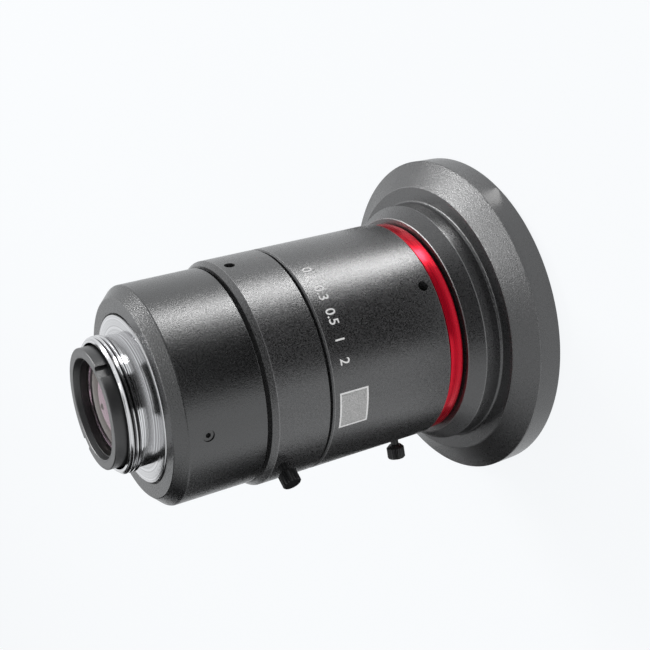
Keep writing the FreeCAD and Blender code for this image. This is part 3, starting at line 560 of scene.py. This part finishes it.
set_screw_steel = dark_metal("set_screw_steel", (0.008, 0.008, 0.0082), 0.2, 0.1, 0.05, gloss=1.8)
print("nodes in the barrel's black:", len(main_black.node_tree.nodes),
      "and in the hood's:", len(hood_black.node_tree.nodes))

# %% [markdown]
# ## Bright metal and plain steel
# The mount is bright turned metal. Its rings show as streaks in the tone and the roughness and as a
# shallow relief, which draws the reflections out round the axis as on the real one. The valleys of
# its thread are darkened by a mask, as painted shade where little light reaches, with a little grime.
# It is full at the root, fades out towards the crest, and keeps to the length of the thread.

# %% Painted shade and grime in the thread
THREAD_ROOT, UNDARKENED_CREST = 12.27, 12.46
THREAD_LOW, THREAD_HIGH = 75.95, 77.8


# The mask of the painted shade and grime in the thread valleys.
def thread_valleys(tree):
    """1 at the root of the thread and further in, 0 at its crest, and 0 above and below it."""
    radius, height = round_axis(tree)
    sunk = stretch(tree, radius, THREAD_ROOT, UNDARKENED_CREST, 1.0, 0.0)
    over = compute(tree, "GREATER_THAN", height, THREAD_LOW)
    under = compute(tree, "LESS_THAN", height, THREAD_HIGH)
    return compute(tree, "MULTIPLY", sunk, compute(tree, "MULTIPLY", over, under))


print("grime is", round(UNDARKENED_CREST - THREAD_ROOT, 2), "mm deep")

# %% Bright turned metal, pin steel and blade steel
# The tone of the painted shade, with a little grime, in the thread valleys.
VALLEY_SHADE_AND_GRIME = grey(0.03)


def turned_metal(name, colour, rough, pitch, bump, dull=0.8, threaded=False):
    """Bare turned metal: dull is the tone of its duller lines, as a share of its colour."""
    material, tree, skin = start_skin(name, {"Metallic": 1.0})
    lines = place_group(tree, tool_rings, {"Pitch": pitch})
    tone = blend(tree, lines["Streak"], (*[c * dull for c in colour], 1), (*colour, 1))
    # A threaded piece gets painted shade and a little grime in its thread valleys.
    if threaded:
        tone = blend(tree, thread_valleys(tree), tone, VALLEY_SHADE_AND_GRIME)
    feed(tree, skin["Base Color"], tone)
    feed(tree, skin["Roughness"], stretch(tree, lines["Streak"], 0.0, 1.0, rough + 0.10, rough - 0.05))
    emboss(tree, skin, lines["Height"], bump, 0.01)
    return material


bright_metal = turned_metal("bright_turned_metal", (0.80, 0.80, 0.81), 0.14, 0.23, 1.0, dull=0.50,
                            threaded=True)
pin_steel = turned_metal("ground_steel", (0.45, 0.45, 0.46), 0.3, 0.08, 0.2)
blade_steel = turned_metal("blackened_blade_steel", (0.05, 0.05, 0.053), 0.42, 0.3, 0.15)
print("bare metals:", bright_metal.name, pin_steel.name, blade_steel.name)

# %% [markdown]
# ## Red and glass
# The red ring is dyed and polished: a strong red skin over metal, under a thin clear coat. The dye
# varies a little, and the lathe's lines show in the gloss.
#
# The glass is coated in thin layers, which throw back a little purple. A tint in the glass stands for
# the light that is lost inside the lens, and a thin film on the shader gives the colour of the shine.
# A coating is never quite even, so a slow haze runs through the tint and the roughness.

# %% Red ring
red_paint, tree, skin = start_skin("gloss_red_anodised", {
    "Metallic": 0.7, "IOR": 1.3, "Coat Weight": 0.15, "Coat Roughness": 0.15})
dye = place_group(tree, blasted_grain, {"Grain Size": 0.2})
feed(tree, skin["Base Color"], blend(tree, dye["Cloud"], (0.70, 0.004, 0.022, 1), (0.80, 0.007, 0.034, 1)))
lines = place_group(tree, tool_rings, {"Pitch": 0.15})
feed(tree, skin["Roughness"], stretch(tree, lines["Streak"], 0.0, 1.0, 0.2, 0.3))
print("red:", len(tree.nodes), "nodes")

# %% Coated glass
coating_haze, given, result = new_group("coating_haze", {}, ("Haze",))
place = add(coating_haze, "ShaderNodeTexCoord").outputs["Object"]
feed(coating_haze, result["Haze"], noise(coating_haze, place, 60.0, detail=2.0))


def coated_glass(name, tint, film, cloudy):
    """Glass with a tint, a film so many nanometres thick, and a roughness of up to cloudy."""
    material, tree, skin = start_skin(name, {
        "Metallic": 0.0, "Transmission Weight": 1.0, "IOR": 1.52,
        "Thin Film Thickness": film, "Thin Film IOR": 1.38})
    haze = place_group(tree, coating_haze, {})["Haze"]
    paler = (*[min(1, c * 1.04) for c in tint], 1)
    feed(tree, skin["Base Color"], blend(tree, haze, (*tint, 1), paler))
    feed(tree, skin["Roughness"], stretch(tree, haze, 0.0, 1.0, 0.0, cloudy))
    return material


front_glass = coated_glass("coated_front_glass", (0.50, 0.56, 0.53), 125.0, 0.01)
rear_glass = coated_glass("coated_rear_glass", (0.38, 0.27, 0.32), 95.0, 0.02)
inner_glass = coated_glass("coated_inner_glass", (0.45, 0.40, 0.44), 105.0, 0.01)
print("coated glass:", front_glass.name, rear_glass.name, inner_glass.name)

# %% [markdown]
# ## Dressing the solids
# Most of the lens is right as the solids have it, so those nodes stay and only get their finish. A
# node's mesh is never changed. The material goes into its slot.

# %% Dress the carried nodes
def dress(material, *names):
    for name in names:
        mesh = nodes[name].data
        mesh.materials.clear()
        mesh.materials.append(material)


dress(main_black, "main_barrel", "focus_retainer")
dress(ring_black, "focus_ring", "iris_ring")
dress(hood_black, "front_barrel")
dress(cell_black, "rear_cell", "front_retainer")
dress(inner_black, "ring_spacer", "inner_barrel_front", "inner_barrel_rear", "second_retainer",
      "third_retainer", "iris_base_plate", "iris_cover_plate", "doublet_spacer", "rear_spacer",
      "iris_rotor")
dress(screw_black, "iris_lock_screw", "focus_lock_screw")
dress(set_screw_steel, "mount_screws")
dress(bright_metal, "c_mount_ring")
dress(pin_steel, "guide_pins", "iris_drive_pin")
dress(blade_steel, *["iris_blade_%d" % number for number in range(1, 7)])
dress(red_paint, "red_ring")
dress(front_glass, "front_element", "second_element")
dress(inner_glass, "third_element", "doublet_front", "doublet_rear", "relay_element")
dress(rear_glass, "rear_element")
print("nodes dressed:", sum(len(node.data.materials) == 1 for node in nodes.values()), "of", len(nodes))

# %% [markdown]
# ## The threaded mount
# A camera screws onto this ring: a flat bright seat, a narrow neck and three turns of a 1-32 thread.
# The solid has a plain cylinder where the thread is. A thread could be a bump in the material, but it
# shows at the outline, so it is cut, as on the real one. First comes the turned blank. It grows from
# a cylinder: its top face is raised and scaled about the axis, once for each step of the profile, and
# at the end it goes down again as the bore.

# %% Helpers for turned blanks
AXIS = (0.0, 0.0, 0.0)


def radius_of(point):
    return math.hypot(point.x, point.y) / MM


def turned_start(name, radius, low, high, sides):
    """A cylinder about the lens axis, open in edit mode with its top face selected."""
    start_clean()
    bpy.ops.mesh.primitive_cylinder_add(vertices=sides, radius=radius * MM, depth=(high - low) * MM,
                                        location=(0, 0, (low + high) / 2 * MM))
    piece = bpy.context.object
    piece.name = name
    bake_place(piece)
    open_edit(piece)
    pick(piece, "FACE", lambda face: face.normal.z > 0.9)
    return piece


def raise_top(rise, scale=1.0):
    """Extrude what is selected up by rise millimetres, then scale it about the axis."""
    bpy.ops.mesh.extrude_region_move(TRANSFORM_OT_translate={"value": (0, 0, rise * MM)})
    if scale != 1.0:
        bpy.ops.transform.resize(value=(scale, scale, 1.0), center_override=AXIS)


def mend_normals(piece):
    open_edit(piece)
    bpy.ops.mesh.select_all(action="SELECT")
    bpy.ops.mesh.remove_doubles(threshold=0.002 * MM)
    bpy.ops.mesh.normals_make_consistent(inside=False)
    close_edit()


print("a point at x 3, y 4 mm is", round(radius_of(Vector((3 * MM, 4 * MM, 0))), 1), "mm from the axis")

# %% The mount's blank
HUB_FRONT, SCREW_GROOVE_Z, SEAT_Z = 61.0, 67.3, 73.3
HUB_RADIUS, GROOVE_DEPTH = 15.64, 0.7
NECK_RADIUS, NECK_LENGTH = 12.25, 2.6
THREAD_RADIUS, THREAD_END, THREAD_CHAMFER = 12.7, 78.35, 0.5
CHAMFERED = THREAD_RADIUS - THREAD_CHAMFER
MOUNT_BORE = 11.7
SEAT_BEVEL = 0.12

mount = turned_start("c_mount_thread", HUB_RADIUS, HUB_FRONT, SCREW_GROOVE_Z - GROOVE_DEPTH, 192)
groove_share = (HUB_RADIUS - GROOVE_DEPTH) / HUB_RADIUS
raise_top(GROOVE_DEPTH, groove_share)
raise_top(GROOVE_DEPTH, 1 / groove_share)
raise_top(SEAT_Z - SCREW_GROOVE_Z - GROOVE_DEPTH)
raise_top(0.0, NECK_RADIUS / HUB_RADIUS)
raise_top(NECK_LENGTH)
raise_top(0.0, THREAD_RADIUS / NECK_RADIUS)
raise_top(THREAD_END - THREAD_CHAMFER - SEAT_Z - NECK_LENGTH)
raise_top(THREAD_CHAMFER, CHAMFERED / THREAD_RADIUS)
raise_top(0.0, MOUNT_BORE / CHAMFERED)
raise_top(HUB_FRONT - THREAD_END)
bpy.ops.mesh.delete(type="FACE")
pick(mount, "FACE", lambda face: face.normal.z < -0.9 and len(face.verts) > 4)
bpy.ops.mesh.delete(type="FACE")
pick(mount, "EDGE", lambda edge: edge.is_boundary)
bpy.ops.mesh.bridge_edge_loops()


def on_seat_edge(edge):
    return all(abs(v.co.z / MM - SEAT_Z) < 0.01 and abs(radius_of(v.co) - HUB_RADIUS) < 0.01
               for v in edge.verts)


pick(mount, "EDGE", on_seat_edge)
bpy.ops.mesh.bevel(offset=SEAT_BEVEL * MM, segments=2)
close_edit()
mend_normals(mount)
print("mount blank:", len(mount.data.polygons), "faces")

# %% [markdown]
# The thread is cut as the real tool cuts it. A small plane gets the section of the tool, narrow at the
# root and wide at the mouth, with flanks at 30 degrees. A screw modifier carries it round a helix, and
# a boolean takes that out of the blank.

# %% The cutter
THREAD_PITCH = 25.4 / 32
CUTTER_REACH, CUTTER_START, CUTTER_TURNS = 12.78, 75.33, 5
FLANK = math.tan(math.radians(30))
ROOT_FLAT = 0.055
CUTTER_MOUTH = ROOT_FLAT + (CUTTER_REACH - THREAD_ROOT) * FLANK


def apply_modifiers(piece):
    take(piece)
    for modifier in list(piece.modifiers):
        bpy.ops.object.modifier_apply(modifier=modifier.name)
    bpy.ops.object.select_all(action="DESELECT")


def climb_helix(piece, turns, rise, repeats, steps, sides):
    """Carry a flat section round a helix, and close its two ends."""
    climb = piece.modifiers.new("helix", "SCREW")
    climb.axis = "Z"
    climb.angle = 2 * math.pi * turns
    climb.screw_offset = rise * turns * MM
    climb.iterations = repeats
    climb.steps = climb.render_steps = steps
    apply_modifiers(piece)
    open_edit(piece)
    bpy.ops.mesh.select_all(action="SELECT")
    bpy.ops.mesh.fill_holes(sides=sides)
    close_edit()
    mend_normals(piece)


start_clean()
bpy.ops.mesh.primitive_plane_add(size=1.0, rotation=(math.pi / 2, 0, 0))
cutter = bpy.context.object
cutter.name = "thread_cutter"
cutter.scale = ((CUTTER_REACH - THREAD_ROOT) * MM, 2 * ROOT_FLAT * MM, 1.0)
cutter.location = ((CUTTER_REACH + THREAD_ROOT) / 2 * MM, 0, CUTTER_START * MM)
bake_place(cutter)
open_edit(cutter)
pick(cutter, "EDGE", lambda edge: all(v.co.x / MM > CUTTER_REACH - 0.01 for v in edge.verts))
bpy.ops.transform.resize(value=(1, 1, CUTTER_MOUTH / ROOT_FLAT),
                         center_override=(0, 0, CUTTER_START * MM))
close_edit()
climb_helix(cutter, 1, THREAD_PITCH, CUTTER_TURNS, steps=96, sides=4)
print("cutter:", len(cutter.data.polygons), "faces, mouth", round(2 * CUTTER_MOUTH, 2), "mm")

# %% Cutting the thread
def smooth(piece, angle):
    """Shade smooth, apart from edges sharper than the angle."""
    take(piece)
    bpy.ops.object.shade_smooth_by_angle(angle=math.radians(angle))
    bpy.ops.object.select_all(action="DESELECT")


cut = mount.modifiers.new("thread", "BOOLEAN")
cut.operation = "DIFFERENCE"
cut.solver = "EXACT"
cut.object = cutter
apply_modifiers(mount)
bpy.data.objects.remove(cutter)
smooth(mount, 28.0)
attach(mount, "mount_body")
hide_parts("c_mount_ring")
mount.data.materials.append(bright_metal)
print("threaded mount:", len(mount.data.polygons), "faces")

# %% [markdown]
# ## The thumb screws
# One small screw locks each ring. Its head is a steel drum with straight knurls, which a finger can
# turn. The head is turned first, like the mount. Then every second pair of its long edges is pressed
# in towards the axis, which gives sixteen ridges. The second screw is a copy with a shorter neck and
# a shorter shank, so its head and its tip are moved along the axis.

# %% The first thumb screw
HEAD_RADIUS, HEAD_LENGTH, HEAD_SHOULDER, HEAD_EDGE = 1.8, 2.8, 0.6, 0.2
SCREW_NECK, SCREW_SHANK, SHANK_SUNK = 0.8, 0.95, 0.3
FOCUS_NECK, IRIS_NECK = 2.05, 1.25
FOCUS_WALL, IRIS_WALL = 3.1, 2.6
KNURLS, KNURL_SHARE, CROWN_SHARE, LONG_EDGE = 16, 0.86, 0.55, 1.5

focus_screw = turned_start("focus_thumb_screw", SCREW_SHANK, -FOCUS_WALL, -SHANK_SUNK, 4 * KNURLS)
raise_top(0.0, SCREW_NECK / SCREW_SHANK)
raise_top(SHANK_SUNK + FOCUS_NECK)
raise_top(0.0, (HEAD_RADIUS - HEAD_SHOULDER) / SCREW_NECK)
raise_top(HEAD_SHOULDER, HEAD_RADIUS / (HEAD_RADIUS - HEAD_SHOULDER))
raise_top(HEAD_LENGTH - HEAD_SHOULDER - HEAD_EDGE)
raise_top(HEAD_EDGE, (HEAD_RADIUS - HEAD_EDGE) / HEAD_RADIUS)
raise_top(0.0, CROWN_SHARE)


def in_valley(edge):
    """True for two in every four of the upright edges round the head."""
    a, b = edge.verts
    upright = abs(a.co.z - b.co.z) > LONG_EDGE * MM
    on_drum = all(abs(radius_of(v.co) - HEAD_RADIUS) < 0.01 for v in (a, b))
    number = round(math.degrees(math.atan2(a.co.y, a.co.x)) / 360 * 4 * KNURLS)
    return upright and on_drum and number % 4 in (0, 1)


pressed = pick(focus_screw, "EDGE", in_valley)
bpy.ops.transform.resize(value=(KNURL_SHARE, KNURL_SHARE, 1), center_override=AXIS)
close_edit()
print("knurl edges pressed in:", pressed)

# %% The second one, and their places
FOCUS_SCREW_PLACE, IRIS_SCREW_PLACE = (166.6, 19.85), (210.0, 52.3)

iris_screw = focus_screw.copy()
iris_screw.data = focus_screw.data.copy()
iris_screw.name = "iris_thumb_screw"
bpy.context.scene.collection.objects.link(iris_screw)
open_edit(iris_screw)
pick(iris_screw, "FACE", lambda face: all(v.co.z < 0 for v in face.verts))
bpy.ops.transform.translate(value=(0, 0, (FOCUS_WALL - IRIS_WALL) * MM))
pick(iris_screw, "FACE", lambda face: all(v.co.z > 1.0 * MM for v in face.verts))
bpy.ops.transform.translate(value=(0, 0, (IRIS_NECK - FOCUS_NECK) * MM))
close_edit()


def set_in_ring(screw, place, body, node):
    """Lay a screw on its side and set it in its ring, at an angle round it and a height."""
    angle, height = math.radians(place[0]), place[1]
    screw.rotation_euler = (0, math.pi / 2, angle)
    screw.location = (GRIP_RADIUS * MM * math.cos(angle), GRIP_RADIUS * MM * math.sin(angle), height * MM)
    bake_place(screw)
    smooth(screw, 25.0)
    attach(screw, body)
    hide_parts(node)
    screw.data.materials.append(screw_black)


set_in_ring(focus_screw, FOCUS_SCREW_PLACE, "focus_lock", "focus_lock_screw")
set_in_ring(iris_screw, IRIS_SCREW_PLACE, "iris_lock", "iris_lock_screw")
print("thumb screws:", len(focus_screw.data.polygons), "faces each")

# %% [markdown]
# ## The red ring
# The ring is a polished band with a rounded front edge, where its shine rolls off. It could be turned
# like the mount, but a rounded profile is easier to draw. So its section is a small plane, two of its
# corners are rounded, and the outline is spun about the axis.

# %% The red ring, spun from its section
RED_INNER, RED_OUTER, RED_FRONT, RED_BACK = 20.4, 21.2, 14.35, 17.2
FRONT_ROUND, BACK_ROUND = 0.3, 0.12

start_clean()
bpy.ops.mesh.primitive_plane_add(size=1.0, rotation=(math.pi / 2, 0, 0))
red = bpy.context.object
red.name = "red_band"
red.scale = ((RED_OUTER - RED_INNER) * MM, (RED_BACK - RED_FRONT) * MM, 1.0)
red.location = ((RED_OUTER + RED_INNER) / 2 * MM, 0, (RED_BACK + RED_FRONT) / 2 * MM)
bake_place(red)
for corner_height, size in ((RED_FRONT, FRONT_ROUND), (RED_BACK, BACK_ROUND)):
    open_edit(red, "VERT")
    section = bmesh.from_edit_mesh(red.data)
    corner = min(section.verts, key=lambda v: math.hypot(v.co.x / MM - RED_OUTER,
                                                         v.co.z / MM - corner_height))
    corner.select_set(True)
    bmesh.update_edit_mesh(red.data)
    bpy.ops.mesh.bevel(offset=size * MM, segments=6, affect="VERTICES")
    close_edit()
open_edit(red, "VERT")
bpy.ops.mesh.select_all(action="SELECT")
bpy.ops.mesh.delete(type="ONLY_FACE")
bpy.ops.mesh.select_all(action="SELECT")
bpy.ops.mesh.spin(steps=192, angle=2 * math.pi, center=AXIS, axis=(0, 0, 1))
close_edit()
mend_normals(red)
smooth(red, 30.0)
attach(red, "focus_group")
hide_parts("red_ring")
red.data.materials.append(red_paint)
print("red band:", len(red.data.polygons), "faces")

# %% [markdown]
# ## The filter thread
# The hood's mouth is threaded for a filter. Only its ridges show, so they are a small triangle that
# climbs a helix along the wall, with its base sunk in the wall and its point towards the axis.

# %% Filter thread
FILTER_RADIUS, FILTER_PITCH, FILTER_TURNS, FILTER_START = 30.65, 0.75, 2.6, 0.42
RIDGE_SIZE, RIDGE_SUNK = 0.38, 0.05

start_clean()
bpy.ops.mesh.primitive_circle_add(vertices=3, radius=RIDGE_SIZE * MM,
                                  rotation=(math.pi / 2, -math.pi / 2, 0))
filter_thread = bpy.context.object
filter_thread.name = "filter_thread"
filter_thread.location = ((FILTER_RADIUS - RIDGE_SUNK) * MM, 0, FILTER_START * MM)
bake_place(filter_thread)
climb_helix(filter_thread, FILTER_TURNS, FILTER_PITCH, repeats=1, steps=330, sides=3)
smooth(filter_thread, 20.0)
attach(filter_thread, "lens_carriage")
filter_thread.data.materials.append(inner_black)
print("filter thread:", len(filter_thread.data.polygons), "faces")

# %% [markdown]
# ## The printed scale
# A focus ring carries a scale in white print, with the distances at which the lens is sharp. Here
# they are plain numbers. Print is thin ink on grained metal, so the grain shows through it and breaks
# up its white.

# %% Ink
def print_ink(name, dark, light):
    material, tree, skin = start_skin(name, {"IOR": 1.5})
    grit = place_group(tree, blasted_grain, {"Grain Size": 0.2})
    feed(tree, skin["Base Color"], blend(tree, grit["Speckle"], grey(dark), grey(light)))
    feed(tree, skin["Roughness"], stretch(tree, grit["Cloud"], 0.0, 1.0, 0.45, 0.6))
    return material


white_print = print_ink("white_print", 0.80, 0.95)
grey_print = print_ink("grey_print", 0.30, 0.60)
print("inks:", white_print.name, grey_print.name)

# %% [markdown]
# Each number is a flat text made into a mesh. It is stood on the ring at its place, and a cast
# modifier then lays it on the cylinder of the ring, a fiftieth of a millimetre outside the metal.

# %% Numbers on the focus ring
PRINT_RADIUS = GRIP_RADIUS + 0.02
SCALE_HEIGHT, FIGURE_SIZE, FIGURE_BOLD = 40.2, 2.7, 0.03
FIGURES = [("0.2", -51.0), ("0.3", -64.0), ("0.5", -77.0), ("1", -88.5), ("2", -99.0)]


def stand_on_ring(piece, angle, height):
    """Stand a flat piece on the ring, with its upper side to the hood."""
    turn = math.radians(angle)
    along = Vector((math.sin(turn), -math.cos(turn), 0))
    out = Vector((math.cos(turn), math.sin(turn), 0))
    stand = Matrix((along, Vector((0, 0, -1)), out)).transposed().to_4x4()
    spot = out * PRINT_RADIUS * MM + Vector((0, 0, height * MM))
    piece.matrix_world = Matrix.Translation(spot) @ stand
    bake_place(piece)


def lay_on_ring(piece, name, material):
    """Cast a flat mesh onto the ring's cylinder, and let it ride with the ring."""
    piece.name = name
    wrap = piece.modifiers.new("on_the_ring", "CAST")
    wrap.cast_type = "CYLINDER"
    wrap.factor = 1.0
    wrap.use_radius_as_size = False
    wrap.size = PRINT_RADIUS * MM
    wrap.use_z = False
    apply_modifiers(piece)
    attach(piece, "focus_group")
    piece.data.materials.clear()
    piece.data.materials.append(material)


for figure, angle in FIGURES:
    start_clean()
    bpy.ops.object.text_add()
    text = bpy.context.object.data
    text.body = figure
    text.size = FIGURE_SIZE * MM
    text.align_x = text.align_y = "CENTER"
    text.resolution_u = 4
    text.offset = FIGURE_BOLD * MM
    bpy.ops.object.convert(target="MESH")
    number = bpy.context.object
    stand_on_ring(number, angle, SCALE_HEIGHT)
    lay_on_ring(number, "figure_" + figure.replace(".", "_"), white_print)
print("figures printed:", len(FIGURES))

# %% [markdown]
# Beside the scale there is a plain field for an owner's mark: a thin white frame and a grey middle.
# It is a grid, fine enough to bend round the ring. An inset divides the frame from the middle, and
# the middle is parted off, so that each has its own ink.

# %% A plain field
FIELD_ANGLE, FIELD_HEIGHT = -123.6, 38.95
FIELD_ACROSS, FIELD_ALONG, FRAME_WIDTH = 7.4, 6.0, 0.35

start_clean()
bpy.ops.mesh.primitive_grid_add(x_subdivisions=16, y_subdivisions=2, size=1.0)
field = bpy.context.object
field.scale = (FIELD_ACROSS * MM, FIELD_ALONG * MM, 1.0)
bake_place(field)
stand_on_ring(field, FIELD_ANGLE, FIELD_HEIGHT)
open_edit(field)
bpy.ops.mesh.select_all(action="SELECT")
bpy.ops.mesh.inset(thickness=FRAME_WIDTH * MM, depth=0.0)
bpy.ops.mesh.duplicate()
before = set(bpy.context.scene.objects)
bpy.ops.mesh.separate(type="SELECTED")
close_edit()
middle = (set(bpy.context.scene.objects) - before).pop()
open_edit(field)
pick(field, "FACE", lambda face: min(e.calc_length() for e in face.edges) > 1.2 * FRAME_WIDTH * MM)
bpy.ops.mesh.delete(type="FACE")
close_edit()
lay_on_ring(field, "plain_field_frame", white_print)
lay_on_ring(middle, "plain_field_middle", grey_print)
print("field frame:", len(field.data.polygons), "faces, middle:", len(middle.data.polygons))

# %% [markdown]
# ## The end
# The view transform is the plain one, so a colour renders about as it is written.

# %% Finish
bpy.context.scene.view_settings.view_transform = "Standard"
